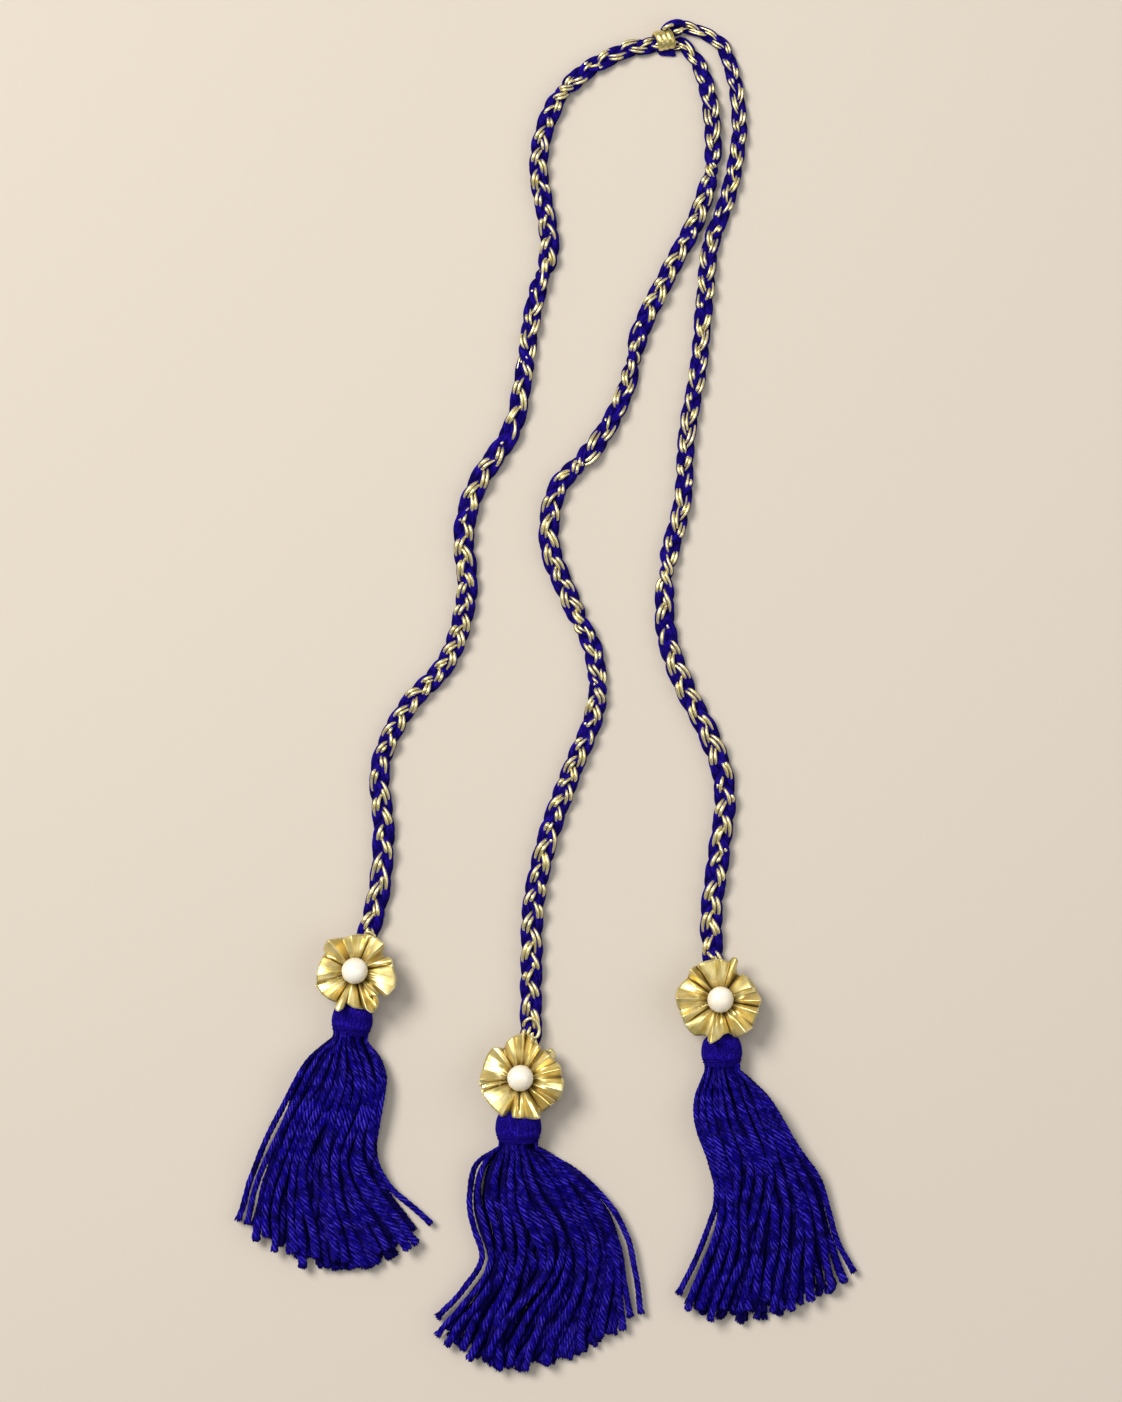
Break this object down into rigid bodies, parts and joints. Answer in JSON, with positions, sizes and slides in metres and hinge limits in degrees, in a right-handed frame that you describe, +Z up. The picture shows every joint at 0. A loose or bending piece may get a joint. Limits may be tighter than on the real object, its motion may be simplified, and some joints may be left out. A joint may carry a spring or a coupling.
{
  "type": "triple tassel on plaited cords",
  "caption": "Yarn tassels under gathered ribbon rosettes with pearls, on plaited cords joined by a wrapped binding, lying flat.",
  "frame": {"origin": "middle of the outline's box on the table, measured without the cords", "axes": "+Y along the cords from the tassels to the binding, +Z up out of the table"},
  "size_m": [0.1854, 0.4046, 0.0151],
  "materials": {
    "blue yarn": "matte plied yarn, royal blue",
    "gold cord": "metallic thread, satin gold",
    "gold ribbon": "crinkled lame ribbon, glossy gold",
    "pearl": "soft nacre gloss, ivory"
  },
  "bodies": {
    "root": {"binding": "gold cord", "tucked_end": "blue yarn", "cord_left": "blue yarn", "cord_middle": "blue yarn", "cord_right": "blue yarn", "tassel_left": "blue yarn", "tassel_middle": "blue yarn", "tassel_right": "blue yarn", "neck_wrap_left": "blue yarn", "neck_wrap_middle": "blue yarn", "neck_wrap_right": "blue yarn", "rosette_left": "gold ribbon", "rosette_middle": "gold ribbon", "rosette_right": "gold ribbon", "pearl_left": "pearl", "pearl_middle": "pearl", "pearl_right": "pearl"}
  },
  "joints": []
}
